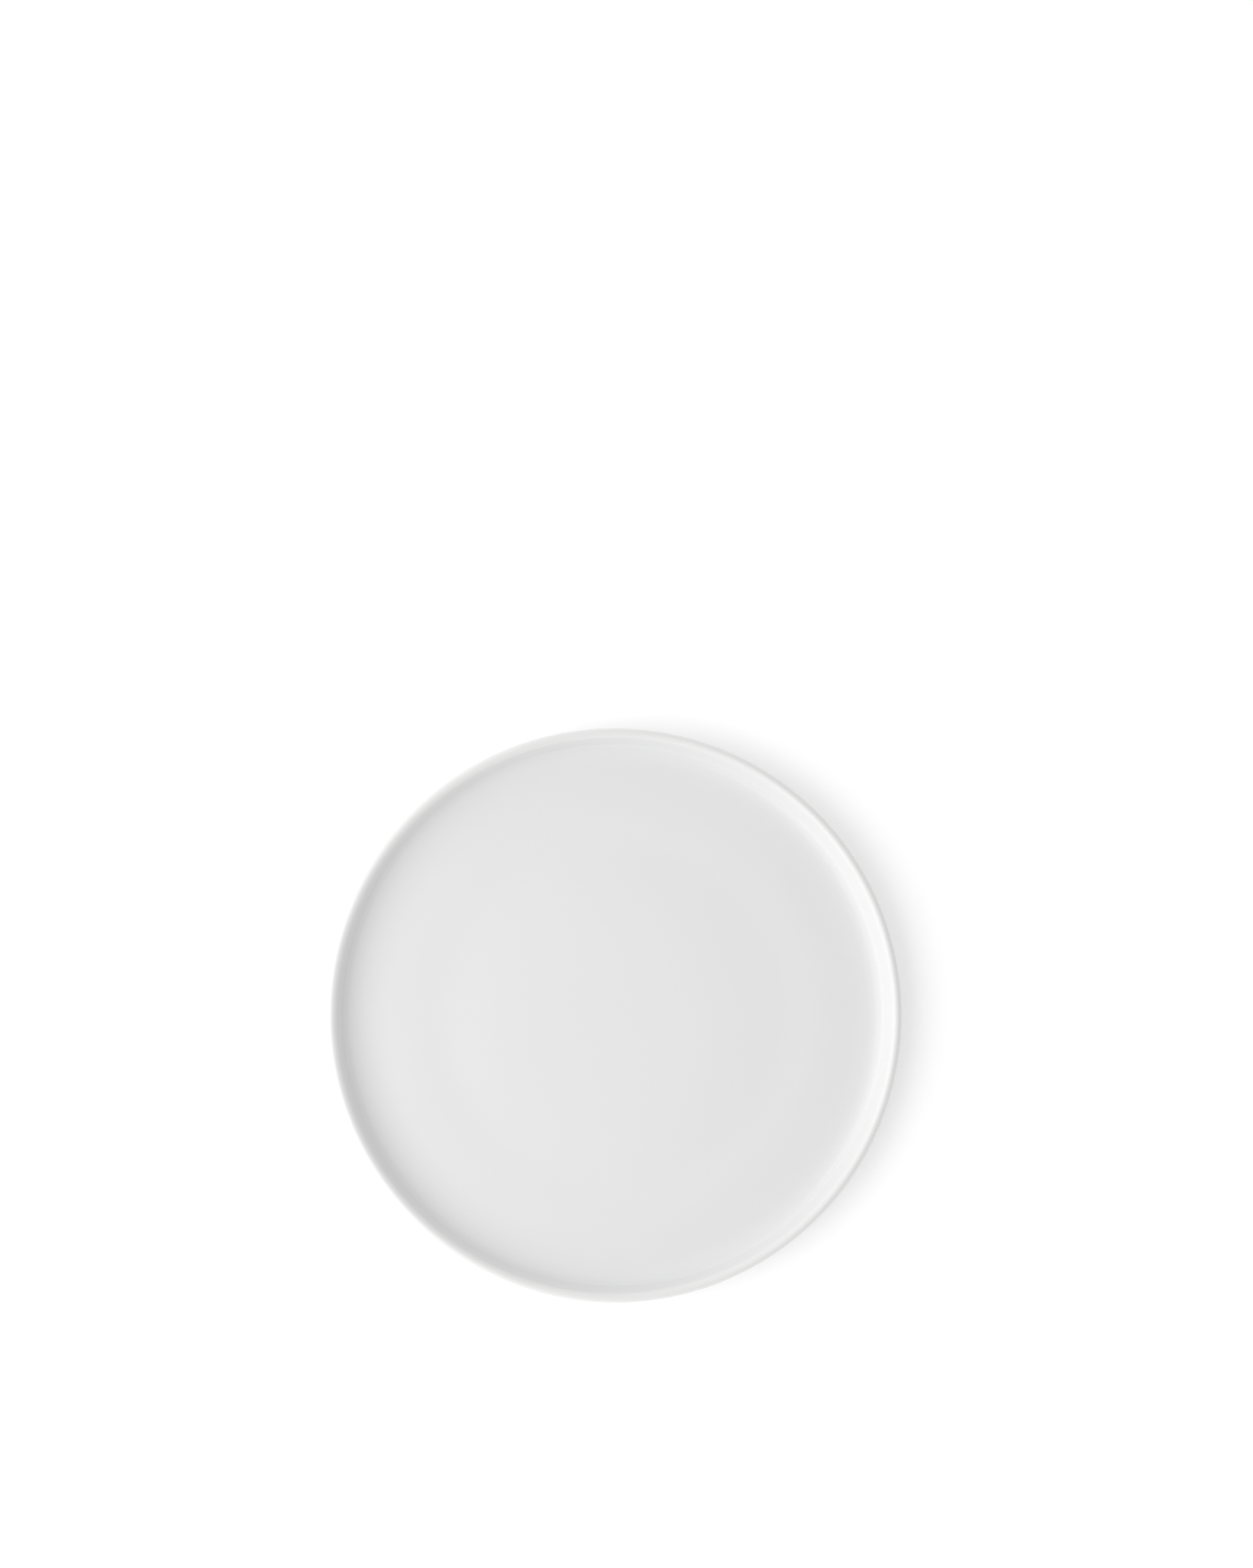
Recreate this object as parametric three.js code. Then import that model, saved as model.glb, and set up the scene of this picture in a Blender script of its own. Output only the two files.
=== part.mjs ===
/**
 * Coupe plate in glazed porcelain.
 *
 * One fired casting, turned about +Z: a nearly flat well, a short steep wall that ends in a
 * rounded lip, and a foot ring underneath. Units are millimetres and degrees. The origin is at the
 * centre of the plane that the foot ring stands on.
 */
import * as THREE from 'three';

// Lip: a full round edge. Its crown is the highest circle of the plate.
const RIM_RADIUS = 100;
const LIP_OUTER_ROUNDING = 1.55;
const LIP_INNER_ROUNDING = 2.1;

// Wall: a shallow sweep out of the well, a fillet, then a straight slope up to the lip.
const SWEEP_RADIUS = 17;
const SWEEP_SLOPE = 15;
const WALL_FILLET = 3.5;
const WALL_SLOPE = 63;
const WALL_THICKNESS = 3.1;

// Well: lowest at its edge. A slight crown keeps the middle from sagging in the kiln. It falls
// away from the centre, rests on a shelf over the foot ring, then falls again.
const WELL_RADIUS = 88.2;
const WELL_HEIGHT = 6;
const WELL_CROWN = 2.65;
const CROWN_FALL = [
  { radius: 84, rise: 0.14, slope: 3.2 },
  { radius: 79, rise: 0.47, slope: 4 },
  { radius: 73, rise: 0.84, slope: 2.8 },
  { radius: 67, rise: 1, slope: 0.4 },
  { radius: 62, rise: 1.04, slope: 0.5 },
  { radius: 56.3, rise: 1.24, slope: 3.4 },
  { radius: 44, rise: 1.95, slope: 3 },
  { radius: 32, rise: 2.4, slope: 1.4 },
];

// Foot ring: a flat contact band with rounded edges, drafted sides and a fillet at its root.
const FOOT_RADIUS = 59.3;
const CONTACT_WIDTH = 2.2;
const FOOT_HEIGHT = 2.4;
const FOOT_EDGE = 0.8;
const FOOT_FILLET = 1.4;
const FOOT_DRAFT = 6;

// Underside: vaulted inside the foot ring to follow the crown, and nearly flat outside it.
const VAULT_RISE = 2;
const VAULT_SLOPE = 3;
const UNDERSIDE_SLOPE = 1;

// Fineness: the most that a facet may stand off the true curve, the longest step along the
// outline, and the number of steps around the plate.
const FACET_ERROR = 0.06;
const LONGEST_STEP = 14;
const STEPS_AROUND = 72;

const GLAZE_COLOUR = 0xe7e7e7;
const GLAZE_ROUGHNESS = 0.15;

// Headings along the outline, in degrees.
const OUTWARD = 0;
const UPWARD = 90;
const INWARD = 180;

const sine = (degrees) => Math.sin(THREE.MathUtils.degToRad(degrees));
const cosine = (degrees) => Math.cos(THREE.MathUtils.degToRad(degrees));
const tangent = (degrees) => Math.tan(THREE.MathUtils.degToRad(degrees));

/** A point that the outline passes through, and the way that it runs there. */
function knot(radius, height, heading) {
  return { point: new THREE.Vector2(radius, height), heading };
}

/** The point at a distance from a knot, straight along its heading. */
function along({ point, heading }, distance) {
  const run = new THREE.Vector2(cosine(heading), sine(heading));
  return point.clone().addScaledVector(run, distance);
}

/** The knot on the far side of a wall of this thickness. */
function below({ point, heading }, thickness) {
  return knot(point.x + thickness * sine(heading), point.y - thickness * cosine(heading), heading);
}

/** The same place, run through the other way. */
function turnedBack({ point, heading }) {
  return knot(point.x, point.y, heading + INWARD);
}

/** The smooth run between two knots: an arc where their headings allow one. */
function smoothRun(start, end) {
  const turn = THREE.MathUtils.degToRad(end.heading - start.heading);
  const chord = start.point.distanceTo(end.point);
  const reach = chord / (3 * Math.cos(turn / 4) ** 2);
  const curve = new THREE.CubicBezierCurve(
    start.point,
    along(start, reach),
    along(end, -reach),
    end.point,
  );
  const stepsForBend = Math.sqrt((Math.abs(turn) * chord) / (8 * FACET_ERROR));
  const steps = Math.ceil(Math.max(stepsForBend, chord / LONGEST_STEP));
  return curve.getPoints(steps).slice(1);
}

/** The underside inside the foot ring, and the ring up to its outer root. */
function undersideKnots() {
  const halfContact = CONTACT_WIDTH / 2;
  const side = halfContact + FOOT_EDGE;
  const root = side + FOOT_FILLET;
  const filletStart = FOOT_HEIGHT - FOOT_FILLET;
  const lean = (filletStart - FOOT_EDGE) * tangent(FOOT_DRAFT);
  const ringSide = [
    { out: halfContact, height: 0, heading: OUTWARD },
    { out: side, height: FOOT_EDGE, heading: UPWARD - FOOT_DRAFT },
    { out: side + lean, height: filletStart, heading: UPWARD - FOOT_DRAFT },
  ];
  const innerSide = ringSide.map((at) => knot(FOOT_RADIUS - at.out, at.height, -at.heading));
  const outerSide = ringSide.map((at) => knot(FOOT_RADIUS + at.out, at.height, at.heading));
  return [
    knot(0, FOOT_HEIGHT + VAULT_RISE, OUTWARD),
    knot(FOOT_RADIUS - root, FOOT_HEIGHT, -VAULT_SLOPE),
    ...innerSide.reverse(),
    ...outerSide,
    knot(FOOT_RADIUS + root, FOOT_HEIGHT, UNDERSIDE_SLOPE),
  ];
}

/** The inner side of the wall, from the well's lowest circle up to the lip. */
function risingKnots() {
  const wellEdge = knot(WELL_RADIUS, WELL_HEIGHT, OUTWARD);
  const sweepEnd = knot(
    WELL_RADIUS + SWEEP_RADIUS * sine(SWEEP_SLOPE),
    WELL_HEIGHT + SWEEP_RADIUS * (1 - cosine(SWEEP_SLOPE)),
    SWEEP_SLOPE,
  );
  const wallFoot = knot(
    sweepEnd.point.x + WALL_FILLET * (sine(WALL_SLOPE) - sine(SWEEP_SLOPE)),
    sweepEnd.point.y + WALL_FILLET * (cosine(SWEEP_SLOPE) - cosine(WALL_SLOPE)),
    WALL_SLOPE,
  );
  const topRadius = RIM_RADIUS - LIP_OUTER_ROUNDING - LIP_INNER_ROUNDING * sine(WALL_SLOPE);
  const wallRise = (topRadius - wallFoot.point.x) * tangent(WALL_SLOPE);
  return [wellEdge, sweepEnd, wallFoot, knot(topRadius, wallFoot.point.y + wallRise, WALL_SLOPE)];
}

/** The wall's outer side, parallel to its inner side, and the lip up to its crown. */
function outerWallKnots() {
  const rising = risingKnots();
  const wallTop = rising.pop();
  const plateHeight = wallTop.point.y + LIP_INNER_ROUNDING * (1 - cosine(WALL_SLOPE));
  return [
    ...rising.map((inside) => below(inside, WALL_THICKNESS)),
    knot(RIM_RADIUS, plateHeight - LIP_OUTER_ROUNDING, UPWARD),
    knot(RIM_RADIUS - LIP_OUTER_ROUNDING, plateHeight, INWARD),
  ];
}

/** The eating surface, from the lip inward to the axis. */
function wellKnots() {
  return [
    ...risingKnots().reverse().map(turnedBack),
    ...CROWN_FALL.map(({ radius, rise, slope }) =>
      knot(radius, WELL_HEIGHT + rise, INWARD - slope)),
    knot(0, WELL_HEIGHT + WELL_CROWN, INWARD),
  ];
}

/** The whole turned outline, from the axis underneath to the axis on top. */
function plateOutline() {
  const knots = [...undersideKnots(), ...outerWallKnots(), ...wellKnots()];
  const runs = knots.slice(1).map((end, index) => smoothRun(knots[index], end));
  return [knots[0].point, ...runs.flat()];
}

function makePlate() {
  const geometry = new THREE.LatheGeometry(plateOutline(), STEPS_AROUND);
  const glaze = new THREE.MeshStandardMaterial({
    color: GLAZE_COLOUR,
    roughness: GLAZE_ROUGHNESS,
    metalness: 0,
  });
  const plate = new THREE.Mesh(geometry, glaze);
  plate.name = 'plate';
  plate.rotation.x = Math.PI / 2;
  return plate;
}

const coupePlate = new THREE.Group();
coupePlate.add(makePlate());

export default coupePlate;
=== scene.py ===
"""Coupe plate in glazed porcelain, turned on its axis and shown on a plain pale floor.

Laid out as an add-on and run as a script. Every length is in metres, and the origin is at the
centre of the plane that the foot ring stands on, with +Z up.
"""
import math
from typing import NamedTuple

import bmesh
import bpy
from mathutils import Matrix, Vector
from mathutils.geometry import interpolate_bezier


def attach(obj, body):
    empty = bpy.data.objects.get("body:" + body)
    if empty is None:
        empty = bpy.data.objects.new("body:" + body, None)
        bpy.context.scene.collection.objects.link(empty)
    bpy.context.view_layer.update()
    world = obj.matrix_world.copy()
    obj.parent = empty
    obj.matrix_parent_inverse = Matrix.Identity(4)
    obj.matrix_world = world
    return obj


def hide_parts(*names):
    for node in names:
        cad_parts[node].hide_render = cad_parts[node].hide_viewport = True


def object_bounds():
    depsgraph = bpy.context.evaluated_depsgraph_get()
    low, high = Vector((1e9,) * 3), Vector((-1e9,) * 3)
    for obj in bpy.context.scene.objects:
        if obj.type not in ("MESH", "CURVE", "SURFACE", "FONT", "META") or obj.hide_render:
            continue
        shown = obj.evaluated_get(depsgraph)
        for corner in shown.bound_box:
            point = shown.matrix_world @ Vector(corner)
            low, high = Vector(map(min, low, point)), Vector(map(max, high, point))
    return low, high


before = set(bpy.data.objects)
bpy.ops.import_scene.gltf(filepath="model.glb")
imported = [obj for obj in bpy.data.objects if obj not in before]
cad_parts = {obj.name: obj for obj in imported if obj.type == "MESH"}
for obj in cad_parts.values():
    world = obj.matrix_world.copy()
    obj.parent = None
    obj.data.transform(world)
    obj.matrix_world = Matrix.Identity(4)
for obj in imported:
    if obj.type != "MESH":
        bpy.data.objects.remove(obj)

bl_info = {
    "name": "Coupe Plate",
    "version": (1, 0, 0),
    "blender": (4, 5, 0),
    "location": "View3D > Sidebar > Coupe Plate",
    "description": "Builds a glazed porcelain coupe plate and a plain stage to show it on",
    "category": "Add Mesh",
}

CAD_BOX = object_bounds()
PLATE_NODE = "plate"
PLATE_BODY = "root"
MM = 0.001
MICRON = 0.000001

# Headings along the outline of the plate's section.
OUTWARD = 0.0
UPWARD = math.pi / 2
INWARD = math.pi

# Fineness: the most that a facet may stand off the true curve, the longest step along the
# outline, the number of steps around the plate, and how near two points are when they merge.
FACET_ERROR = 0.002 * MM
LONGEST_STEP = 2.5 * MM
STEPS_AROUND = 288
MERGE_DISTANCE = 0.001 * MM


def length(name, description, default, lowest=0.0):
    return bpy.props.FloatProperty(
        name=name, description=description, default=default, min=lowest, unit="LENGTH", precision=5
    )


def angle(name, description, degrees):
    return bpy.props.FloatProperty(
        name=name, description=description, default=math.radians(degrees), subtype="ANGLE"
    )


def colour(name, description, default):
    return bpy.props.FloatVectorProperty(
        name=name, description=description, default=default, size=3, min=0, max=1, subtype="COLOR"
    )


def share(name, description, default, highest=1.0):
    return bpy.props.FloatProperty(
        name=name, description=description, default=default, min=0, max=highest, subtype="FACTOR"
    )


# ---------------------------------------------------------------- sizes and colours

class PlateSizes(bpy.types.PropertyGroup):
    """The section of the plate, from the foot ring to the lip."""

    rim_radius: length("Rim radius", "Half the plate's width", CAD_BOX[1].x)
    lip_outer: length("Lip, outer rounding", "Radius of the lip's outer quarter", 1.55 * MM)
    lip_inner: length("Lip, inner rounding", "Radius of the lip's inner side", 2.1 * MM)
    wall_slope: angle("Wall slope", "Slope of the wall's straight stretch", 63)
    wall_fillet: length("Wall fillet", "Radius between the sweep and the wall", 3.5 * MM)
    wall_thickness: length("Wall thickness", "Thickness across the wall", 3.1 * MM)
    sweep_radius: length("Sweep radius", "Radius of the sweep from the well to the wall", 17 * MM)
    sweep_slope: angle("Sweep slope", "Slope at the sweep's outer end", 15)
    well_radius: length("Well radius", "Radius of the lowest circle of the well", 88.2 * MM)
    well_height: length("Well height", "Height of that circle above the table", 6 * MM)
    well_crown: length("Well crown", "Rise of the well's middle above its edge", 2.65 * MM)
    foot_radius: length("Foot radius", "Radius of the middle of the foot ring", 59.3 * MM)
    foot_height: length("Foot height", "Depth of the foot ring below the base", 2.4 * MM)
    foot_edge: length("Foot edge", "Rounding beside the foot ring's contact band", 0.8 * MM)
    foot_fillet: length("Foot fillet", "Radius where the foot ring meets the base", 1.4 * MM)
    foot_draft: angle("Foot draft", "Lean of the foot ring's sides", 6)
    contact_width: length("Contact width", "Width of the foot ring's flat band", 2.2 * MM)
    vault_rise: length("Vault rise", "Rise of the underside inside the foot ring", 2 * MM)
    vault_slope: angle("Vault slope", "Slope of the underside at the foot ring's inner root", 3)
    underside_slope: angle("Underside slope", "Slope of the underside beside the foot ring", 1)
    glaze_line: length("Glaze line", "Height of the glaze's edge above the table", 0.55 * MM)
    glaze_depth: length("Glaze depth", "How far the glaze's edge stands off the body", 0.2 * MM)


class GlazeLook(bpy.types.PropertyGroup):
    """The colours and gloss of the fired surface."""

    body: colour("Glaze", "Colour of the glazed porcelain", (0.795, 0.795, 0.795))
    pooled: colour("Pooled glaze", "Colour where the glaze gathers", (0.768, 0.775, 0.776))
    thin: colour("Thin glaze", "Colour where the glaze runs thin", (0.802, 0.799, 0.791))
    biscuit: colour("Biscuit", "Colour of the unglazed contact band", (0.72, 0.70, 0.665))
    speck: colour("Speck", "Colour of the rare iron specks", (0.42, 0.36, 0.29))
    clouding: share("Clouding", "How much the glaze's colour drifts from place to place", 0.012)
    roughness: share("Roughness", "Roughness of the glaze", 0.15)
    biscuit_roughness: share("Biscuit roughness", "Roughness of the unglazed body", 0.88)


class StageLook(bpy.types.PropertyGroup):
    """The floor, the surroundings and the camera's framing."""

    floor: colour("Floor", "Colour of the floor", (0.95, 0.95, 0.95))
    floor_glow: share("Floor glow", "Light that the floor gives off by itself", 0.163)
    surround: share("Surround", "Strength of the even light from all around", 0.44, 4)
    horizon: share("Horizon", "Light that is added near the horizon", 0.94, 4)
    side: share("Side", "Light that is added towards -X", 0.51, 4)
    view_height: length("View height", "Length of floor from the view's bottom to its top", 0.5455)
    camera_distance: length("Camera distance", "Height of the camera above the lip", 2.0)
    aside: length("Aside", "How far the view's middle lies along +X from the plate's", 0.0042)
    ahead: length("Ahead", "How far the view's middle lies along +Y from the plate's", 0.0806)


# ---------------------------------------------------------------- the plate's section

class Fall(NamedTuple):
    """A circle that the well's surface passes through, above its lowest circle."""

    radius: float
    rise: float
    slope: float


# The crown falls away from the middle, rests on a shelf over the foot ring, then falls again.
CROWN_FALL = [
    Fall(84.0 * MM, 0.14 * MM, math.radians(3.2)),
    Fall(79.0 * MM, 0.47 * MM, math.radians(4.0)),
    Fall(73.0 * MM, 0.84 * MM, math.radians(2.8)),
    Fall(67.0 * MM, 1.00 * MM, math.radians(0.4)),
    Fall(62.0 * MM, 1.04 * MM, math.radians(0.5)),
    Fall(56.3 * MM, 1.24 * MM, math.radians(3.4)),
    Fall(44.0 * MM, 1.95 * MM, math.radians(3.0)),
    Fall(32.0 * MM, 2.40 * MM, math.radians(1.4)),
]


class Knot(NamedTuple):
    """A point that the outline passes through, and the way that it runs there."""

    radius: float
    height: float
    heading: float

    def along(self, distance):
        return Vector((
            self.radius + distance * math.cos(self.heading),
            0.0,
            self.height + distance * math.sin(self.heading),
        ))

    def below(self, thickness):
        """The knot on the far side of a wall of this thickness."""
        return Knot(
            self.radius + thickness * math.sin(self.heading),
            self.height - thickness * math.cos(self.heading),
            self.heading,
        )

    def turned_back(self):
        """The same place, run through the other way."""
        return Knot(self.radius, self.height, self.heading + INWARD)


def smooth_run(start, end):
    """Points of the smooth run between two knots: an arc where their headings allow one.

    The handles reach as far as they do on a cubic curve that follows an arc. The steps are short
    enough for each facet's bulge, which is its turn times its chord over eight, to stay in bounds.
    """
    turn = end.heading - start.heading
    chord = (end.along(0) - start.along(0)).length
    reach = chord / (3 * math.cos(turn / 4) ** 2)
    steps_for_bend = math.sqrt(abs(turn) * chord / (8 * FACET_ERROR))
    steps = math.ceil(max(steps_for_bend, chord / LONGEST_STEP))
    return interpolate_bezier(
        start.along(0), start.along(reach), end.along(-reach), end.along(0), steps + 1
    )[1:]


def underside_knots(sizes):
    """The underside, from the axis to the foot ring's outer root.

    The glaze stops short of the table on both sides of the ring. Its rounded edge overhangs the
    bare body by the glaze depth.
    """
    half_contact = sizes.contact_width / 2
    side = half_contact + sizes.foot_edge
    root = side + sizes.foot_fillet
    fillet_start = sizes.foot_height - sizes.foot_fillet
    lean = (fillet_start - sizes.foot_edge) * math.tan(sizes.foot_draft)
    steep = UPWARD - sizes.foot_draft
    line = sizes.glaze_line
    bare_side = side - sizes.glaze_depth
    corner = sizes.glaze_depth / 4
    ring_side = [
        Knot(half_contact, 0.0, OUTWARD),
        Knot(bare_side, line - corner, steep),
        Knot(bare_side + corner, line, OUTWARD),
        Knot(side, line + sizes.glaze_depth, steep),
        Knot(side + lean, fillet_start, steep),
    ]
    middle = sizes.foot_radius
    inner = [Knot(middle - at, height, -heading) for at, height, heading in reversed(ring_side)]
    outer = [Knot(middle + at, height, heading) for at, height, heading in ring_side]
    return [
        Knot(0.0, sizes.foot_height + sizes.vault_rise, OUTWARD),
        Knot(middle - root, sizes.foot_height, -sizes.vault_slope),
        *inner,
        *outer,
        Knot(middle + root, sizes.foot_height, sizes.underside_slope),
    ]


def rising_knots(sizes):
    """The inner side of the wall, from the well's lowest circle up to the lip."""
    sweep = sizes.sweep_slope
    slope = sizes.wall_slope
    well_edge = Knot(sizes.well_radius, sizes.well_height, OUTWARD)
    sweep_end = Knot(
        well_edge.radius + sizes.sweep_radius * math.sin(sweep),
        well_edge.height + sizes.sweep_radius * (1 - math.cos(sweep)),
        sweep,
    )
    wall_foot = Knot(
        sweep_end.radius + sizes.wall_fillet * (math.sin(slope) - math.sin(sweep)),
        sweep_end.height + sizes.wall_fillet * (math.cos(sweep) - math.cos(slope)),
        slope,
    )
    top_radius = sizes.rim_radius - sizes.lip_outer - sizes.lip_inner * math.sin(slope)
    top_height = wall_foot.height + (top_radius - wall_foot.radius) * math.tan(slope)
    return [well_edge, sweep_end, wall_foot, Knot(top_radius, top_height, slope)]


def plate_height(sizes):
    wall_top = rising_knots(sizes)[-1]
    return wall_top.height + sizes.lip_inner * (1 - math.cos(sizes.wall_slope))


def outer_wall_knots(sizes):
    """The wall's outer side, parallel to its inner side, and the lip up to its crown."""
    height = plate_height(sizes)
    parallel = [knot.below(sizes.wall_thickness) for knot in rising_knots(sizes)[:-1]]
    return [
        *parallel,
        Knot(sizes.rim_radius, height - sizes.lip_outer, UPWARD),
        Knot(sizes.rim_radius - sizes.lip_outer, height, INWARD),
    ]


def well_knots(sizes):
    """The eating surface, from the lip inward to the axis."""
    floor = sizes.well_height
    wall = [knot.turned_back() for knot in reversed(rising_knots(sizes))]
    falls = [Knot(fall.radius, floor + fall.rise, INWARD - fall.slope) for fall in CROWN_FALL]
    return [*wall, *falls, Knot(0.0, floor + sizes.well_crown, INWARD)]


def plate_outline(sizes):
    """The whole section, from the axis underneath to the axis on top."""
    knots = [*underside_knots(sizes), *outer_wall_knots(sizes), *well_knots(sizes)]
    points = [knots[0].along(0)]
    for start, end in zip(knots, knots[1:]):
        points += smooth_run(start, end)
    return points


def turn_plate(sizes):
    """Spins the section once round the axis into one closed shell."""
    bm = bmesh.new()
    verts = [bm.verts.new(point) for point in plate_outline(sizes)]
    edges = [bm.edges.new(pair) for pair in zip(verts, verts[1:])]
    bmesh.ops.spin(
        bm,
        geom=verts + edges,
        axis=(0, 0, 1),
        cent=(0, 0, 0),
        angle=2 * math.pi,
        steps=STEPS_AROUND,
        use_merge=True,
    )
    bmesh.ops.remove_doubles(bm, verts=bm.verts, dist=MERGE_DISTANCE)
    bmesh.ops.recalc_face_normals(bm, faces=bm.faces)
    for face in bm.faces:
        face.smooth = True
    mesh = bpy.data.meshes.new("glazed_plate")
    bm.to_mesh(mesh)
    bm.free()
    return mesh


# ---------------------------------------------------------------- materials

class Wire:
    """An output socket. Arithmetic on it adds the Math nodes that work it out."""

    def __init__(self, wiring, socket):
        self.wiring = wiring
        self.socket = socket

    def math(self, operation, *values):
        node = self.wiring.node("Math", {"operation": operation}, dict(enumerate(values)))
        return node.wire("Value")

    def __add__(self, other):
        return self.math("ADD", self, other)

    def __sub__(self, other):
        return self.math("SUBTRACT", self, other)

    def __rsub__(self, other):
        return self.math("SUBTRACT", other, self)

    def __mul__(self, other):
        return self.math("MULTIPLY", self, other)

    def __truediv__(self, other):
        return self.math("DIVIDE", self, other)

    def __pow__(self, other):
        return self.math("POWER", self, other)

    def __abs__(self):
        return self.math("ABSOLUTE", self)

    __radd__ = __add__
    __rmul__ = __mul__

    def sine(self):
        return self.math("SINE", self)

    def rise(self, low, high):
        """0 below low, 1 above high, and a smooth step between them."""
        settings = {"interpolation_type": "SMOOTHSTEP"}
        sockets = {"Value": self, "From Min": low, "From Max": high}
        return self.wiring.node("MapRange", settings, sockets).wire("Result")

    def band(self, low, high, soft):
        """1 between low and high, fading to 0 over the soft distance on each side."""
        return self.rise(low - soft, low) * (1 - self.rise(high, high + soft))

    def split(self):
        """The x, y and z of a vector."""
        parts = self.wiring.node("SeparateXYZ", {}, {"Vector": self})
        return parts.wire("X"), parts.wire("Y"), parts.wire("Z")


class Made(NamedTuple):
    """A node that has just been made, which hands out its outputs as wires."""

    wiring: object
    node: object

    def wire(self, name):
        enabled = [socket for socket in self.node.outputs if socket.enabled]
        return Wire(self.wiring, next(socket for socket in enabled if socket.name == name))


class Wiring:
    """The node tree of a material or a world, and the ways that nodes are added to it."""

    def __init__(self, tree):
        self.tree = tree

    def node(self, kind, settings, sockets):
        """Adds a shader node: its settings first, then the values or wires of its sockets."""
        node = self.tree.nodes.new("ShaderNode" + kind)
        for name, setting in settings.items():
            setattr(node, name, setting)
        self.join(node, sockets)
        return Made(self, node)

    def join(self, node, sockets):
        for key, given in sockets.items():
            enabled = [socket for socket in node.inputs if socket.enabled]
            named = {socket.name: socket for socket in reversed(enabled)}
            socket = node.inputs[key] if isinstance(key, int) else named[key]
            if isinstance(given, Wire):
                self.tree.links.new(given.socket, socket)
            else:
                socket.default_value = given

    def place(self, kind):
        return self.node("TexCoord", {}, {}).wire(kind)

    def noise(self, vector, spacing, detail=2):
        """Soft random cloud from 0 to 1. Its lumps are about one spacing apart, and detail adds
        finer ones.
        """
        sockets = {"Vector": vector, "Scale": 1 / spacing, "Detail": detail}
        return self.node("TexNoise", {}, sockets).wire("Fac")

    def mixed(self, first, second, share_of_second):
        """A colour that goes from the first to the second."""
        settings = {"data_type": "RGBA"}
        sockets = {"Factor": share_of_second, "A": first, "B": second}
        return self.node("Mix", settings, sockets).wire("Result")

    def brightened(self, tone, factor):
        """A colour scaled by a number that changes over the surface."""
        sockets = {0: tone, "Scale": factor}
        return self.node("VectorMath", {"operation": "SCALE"}, sockets).wire("Vector")


class Finish(Wiring):
    """A material being built around its Principled shader."""

    def __init__(self, name):
        self.material = bpy.data.materials.new(name)
        self.material.use_nodes = True
        super().__init__(self.material.node_tree)

    def shade(self, sockets):
        self.join(self.tree.nodes["Principled BSDF"], sockets)
        return self.material


def opaque(tone):
    """A colour as a socket takes it, with nothing of it transparent."""
    return (*tone, 1.0)


class Relief(NamedTuple):
    """Fine unevenness: how far apart its bumps lie, and how high they stand."""

    spacing: float
    height: float


ORANGE_PEEL = Relief(7 * MM, 10 * MICRON)
BISCUIT_GRAIN = Relief(0.22 * MM, 26 * MICRON)
WIPED_EDGE = Relief(2.5 * MM, 0.08 * MM)
WIPED_EDGE_BLUR = 0.03 * MM

# Rings left by turning. They stand higher underneath, and their distance from the axis wanders by
# this many of their own widths.
TURNING_RINGS = Relief(3.4 * MM, 0.7 * MICRON)
RINGS_UNDERNEATH = 5 * MICRON
RINGS_WANDER = 1.4
RINGS_WANDER_SPACING = 30 * MM

# How strongly the glaze gathers or draws back at each place, and the distance it fades over.
ROOT_POOLING = 0.9
ROOT_POOL_FADE = 1.5 * MM
WALL_POOLING = 0.12
WALL_POOL_FADE = 2.5 * MM
LIP_THINNING = 0.6
LIP_THIN_DEPTH = 1.2 * MM
FOOT_THINNING = 0.8

# Iron specks: one to a cell, in the few cells whose random number is above the bare share.
SPECK_SPACING = 16 * MM
SPECK_CORE = 0.10 * MM
SPECK_RADIUS = 0.22 * MM
SPECKLESS_SHARE = 0.88
SPECK_STRENGTH = 0.5

# How wide each patch of tone or gloss is, and how far the tone or the roughness strays in it.
CLOUD_WIDTH = 24 * MM
SMUDGE_WIDTH = 6 * MM
SMUDGE_ROUGHNESS = 0.05
MOTTLE_WIDTH = 0.35 * MM
MOTTLE_TONE = 0.22
MOTTLE_ROUGHNESS = 0.15
GLAZE_IOR = 1.5


def upper_mask(height, sizes):
    """1 on the eating surface and 0 underneath. It changes over inside the body, out of sight."""
    return height.rise(sizes.foot_height + sizes.vault_rise, sizes.well_height)


def bare_mask(finish, vector, height, sizes):
    """1 on the wiped contact band, whose edge wavers a little round the foot ring."""
    waver = (finish.noise(vector, WIPED_EDGE.spacing) - 0.5) * WIPED_EDGE.height
    edge = sizes.glaze_line
    return 1 - (height + waver).rise(edge - WIPED_EDGE_BLUR, edge + WIPED_EDGE_BLUR)


def pooled_mask(radius, upper, sizes):
    """1 where wet glaze gathers: both roots of the foot ring, and faintly along the wall's foot."""
    foot_side = sizes.contact_width / 2 + sizes.foot_edge
    beside_foot = abs(radius - sizes.foot_radius) - foot_side
    roots = beside_foot.band(0.0, sizes.foot_fillet, ROOT_POOL_FADE) * (1 - upper)
    sweep_end, wall_foot = rising_knots(sizes)[1:3]
    fillet = radius.band(sweep_end.radius, wall_foot.radius, WALL_POOL_FADE) * upper
    return roots * ROOT_POOLING + fillet * WALL_POOLING


def thin_mask(height, sizes):
    """1 where the glaze draws back: on the lip's crown and on the foot ring's edges."""
    crown = plate_height(sizes)
    edge_top = sizes.glaze_line + sizes.glaze_depth
    lip = height.rise(crown - LIP_THIN_DEPTH, crown)
    foot = 1 - height.rise(edge_top, 2 * edge_top)
    return lip * LIP_THINNING + foot * FOOT_THINNING


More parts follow.
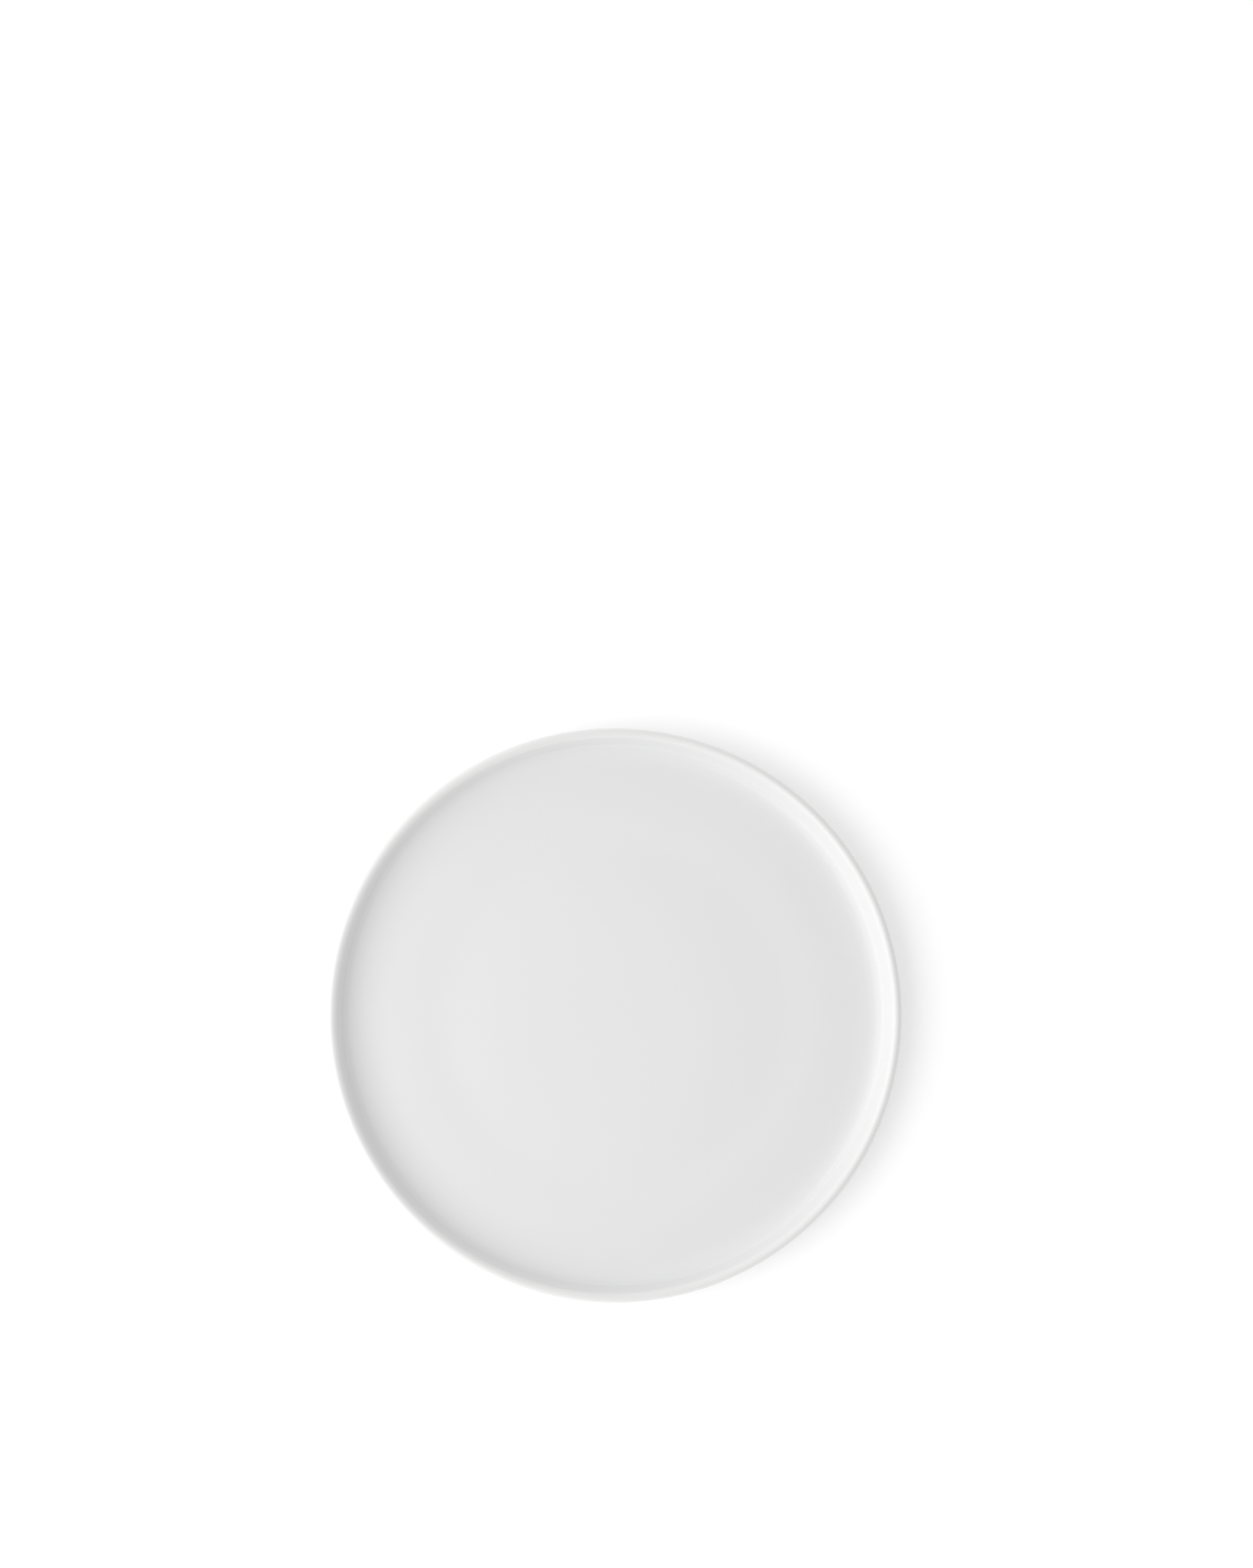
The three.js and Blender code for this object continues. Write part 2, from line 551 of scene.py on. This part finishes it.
def speck_mask(finish, vector):
    """1 inside a few scattered pin-sized specks, and 0 nearly everywhere."""
    sockets = {"Vector": vector, "Scale": 1 / SPECK_SPACING}
    cells = finish.node("TexVoronoi", {"feature": "F1"}, sockets)
    number = finish.node("SeparateColor", {}, {"Color": cells.wire("Color")}).wire("Red")
    from_speck = cells.wire("Distance") * SPECK_SPACING
    return (1 - from_speck.rise(SPECK_CORE, SPECK_RADIUS)) * number.rise(SPECKLESS_SHARE, 1.0)


def glaze_relief(finish, vector, radius, upper, bare):
    """The height of the fired surface's fine relief, in metres."""
    wander = finish.noise(vector, RINGS_WANDER_SPACING, detail=1) * RINGS_WANDER
    rings = ((radius / TURNING_RINGS.spacing + wander) * (2 * math.pi)).sine()
    ring_height = TURNING_RINGS.height + (1 - upper) * RINGS_UNDERNEATH
    peel = finish.noise(vector, ORANGE_PEEL.spacing, detail=1) * ORANGE_PEEL.height
    grain = finish.noise(vector, BISCUIT_GRAIN.spacing, detail=4) * BISCUIT_GRAIN.height
    return (rings * ring_height + peel) * (1 - bare) + grain * bare


def glaze_material(look, sizes):
    """White gloss glaze, left off the contact band, where the biscuit body shows."""
    finish = Finish("porcelain_glaze")
    vector = finish.place("Object")
    x, y, height = vector.split()
    radius = (x * x + y * y) ** 0.5
    upper = upper_mask(height, sizes)
    bare = bare_mask(finish, vector, height, sizes)
    cloud = finish.noise(vector, CLOUD_WIDTH) - 0.5
    smudge = finish.noise(vector, SMUDGE_WIDTH, detail=3) - 0.5
    mottle = finish.noise(vector, MOTTLE_WIDTH, detail=3) - 0.5

    tone = finish.mixed(opaque(look.body), opaque(look.thin), thin_mask(height, sizes))
    tone = finish.mixed(tone, opaque(look.pooled), pooled_mask(radius, upper, sizes))
    tone = finish.mixed(tone, opaque(look.speck), speck_mask(finish, vector) * SPECK_STRENGTH)
    tone = finish.mixed(tone, opaque(look.biscuit), bare)
    tone = finish.brightened(tone, 1 + cloud * look.clouding + mottle * bare * MOTTLE_TONE)

    gloss = look.roughness + smudge * SMUDGE_ROUGHNESS
    matt = look.biscuit_roughness + mottle * MOTTLE_ROUGHNESS
    relief = glaze_relief(finish, vector, radius, upper, bare)
    bump = finish.node("Bump", {}, {"Height": relief, "Distance": 1.0})
    return finish.shade({
        "Base Color": tone,
        "Roughness": gloss * (1 - bare) + matt * bare,
        "Normal": bump.wire("Normal"),
        "IOR": GLAZE_IOR,
    })


def floor_material(look):
    """Matt white floor that glows a little, as a lit table does."""
    return Finish("pale_floor").shade({
        "Base Color": opaque(look.floor),
        "Roughness": 1.0,
        "Specular IOR Level": 0.0,
        "Emission Color": (1, 1, 1, 1),
        "Emission Strength": look.floor_glow,
    })


# ---------------------------------------------------------------- the stage

class SoftLight(NamedTuple):
    """A softbox that faces the plate.

    The bearing from +X and the elevation are in degrees, the lengths in metres and the power in
    watts.
    """

    name: str
    bearing: float
    elevation: float
    distance: float
    width: float
    height: float
    power: float


LIGHTS = [
    SoftLight(
        name="key_softbox",
        bearing=195,
        elevation=45,
        distance=1.2,
        width=1.4,
        height=1.4,
        power=7.0,
    ),
]

FLOOR_WIDTH = 6.0
SENSOR_WIDTH_MM = 36

# The power that the light near the horizon falls off by as it climbs.
HORIZON_FALL = 4


def add_soft_light(light):
    data = bpy.data.lights.new(light.name, "AREA")
    data.shape = "RECTANGLE"
    data.size = light.width
    data.size_y = light.height
    data.energy = light.power
    lamp = bpy.data.objects.new(light.name, data)
    bearing = math.radians(light.bearing)
    elevation = math.radians(light.elevation)
    away = Vector((
        math.cos(elevation) * math.cos(bearing),
        math.cos(elevation) * math.sin(bearing),
        math.sin(elevation),
    ))
    lamp.location = away * light.distance
    lamp.rotation_euler = away.to_track_quat("Z", "Y").to_euler()
    lamp.visible_camera = False
    bpy.context.scene.collection.objects.link(lamp)


def add_camera(look, rim_height):
    """A camera straight above, which looks down and frames the view height at the lip's level."""
    data = bpy.data.cameras.new("camera")
    data.sensor_width = SENSOR_WIDTH_MM
    data.lens = data.sensor_width * look.camera_distance / look.view_height
    camera = bpy.data.objects.new("camera", data)
    camera.location = (look.aside, look.ahead, rim_height + look.camera_distance)
    bpy.context.scene.collection.objects.link(camera)
    bpy.context.scene.camera = camera


def add_floor(look):
    bm = bmesh.new()
    bmesh.ops.create_grid(bm, x_segments=1, y_segments=1, size=FLOOR_WIDTH / 2)
    mesh = bpy.data.meshes.new("floor")
    bm.to_mesh(mesh)
    bm.free()
    mesh.materials.append(floor_material(look))
    floor = bpy.data.objects.new("floor", mesh)
    bpy.context.scene.collection.objects.link(floor)


def add_surround(look):
    """A light tent: even all over, brighter near the horizon and brighter towards -X."""
    world = bpy.data.worlds.new("surround")
    world.use_nodes = True
    wiring = Wiring(world.node_tree)
    x, _y, z = wiring.place("Generated").split()
    near_horizon = (1 - abs(z)) ** HORIZON_FALL
    towards_side = (1 - x) / 2
    strength = look.surround + near_horizon * look.horizon + towards_side * look.side
    background = world.node_tree.nodes["Background"]
    wiring.join(background, {"Color": (1, 1, 1, 1), "Strength": strength})
    bpy.context.scene.world = world


# ---------------------------------------------------------------- operators and panel

class MESH_OT_coupe_plate(bpy.types.Operator):
    """Turn the plate and give it its glaze"""

    bl_idname = "mesh.coupe_plate"
    bl_label = "Build the plate"

    def execute(self, context):
        sizes = context.scene.plate_sizes
        mesh = turn_plate(sizes)
        mesh.materials.append(glaze_material(context.scene.glaze_look, sizes))
        plate = bpy.data.objects.new("glazed_plate", mesh)
        context.scene.collection.objects.link(plate)
        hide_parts(PLATE_NODE)
        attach(plate, PLATE_BODY)
        return {"FINISHED"}


class SCENE_OT_coupe_plate_stage(bpy.types.Operator):
    """Set up the floor, the surroundings, the lights and the camera"""

    bl_idname = "scene.coupe_plate_stage"
    bl_label = "Build the stage"

    def execute(self, context):
        look = context.scene.stage_look
        add_floor(look)
        add_surround(look)
        for light in LIGHTS:
            add_soft_light(light)
        add_camera(look, plate_height(context.scene.plate_sizes))
        context.scene.view_settings.view_transform = "Standard"
        return {"FINISHED"}


class VIEW3D_PT_coupe_plate(bpy.types.Panel):
    """The plate's sizes and colours, and the buttons that build it"""

    bl_label = "Coupe Plate"
    bl_space_type = "VIEW_3D"
    bl_region_type = "UI"
    bl_category = "Coupe Plate"

    def draw(self, context):
        for title, group in PANEL_GROUPS.items():
            box = self.layout.box()
            box.label(text=title)
            settings = getattr(context.scene, group)
            for name in settings.bl_rna.properties.keys():
                if name not in {"rna_type", "name"}:
                    box.prop(settings, name)
        self.layout.operator(MESH_OT_coupe_plate.bl_idname)
        self.layout.operator(SCENE_OT_coupe_plate_stage.bl_idname)


PANEL_GROUPS = {"Sizes": "plate_sizes", "Glaze": "glaze_look", "Stage": "stage_look"}
SETTINGS = {"plate_sizes": PlateSizes, "glaze_look": GlazeLook, "stage_look": StageLook}
CLASSES = [
    PlateSizes,
    GlazeLook,
    StageLook,
    MESH_OT_coupe_plate,
    SCENE_OT_coupe_plate_stage,
    VIEW3D_PT_coupe_plate,
]


def register():
    for made in CLASSES:
        bpy.utils.register_class(made)
    for name, group in SETTINGS.items():
        setattr(bpy.types.Scene, name, bpy.props.PointerProperty(type=group))


def unregister():
    for name in SETTINGS:
        delattr(bpy.types.Scene, name)
    for made in reversed(CLASSES):
        bpy.utils.unregister_class(made)


def main():
    register()
    bpy.ops.mesh.coupe_plate()
    bpy.ops.scene.coupe_plate_stage()


if __name__ == "__main__":
    main()
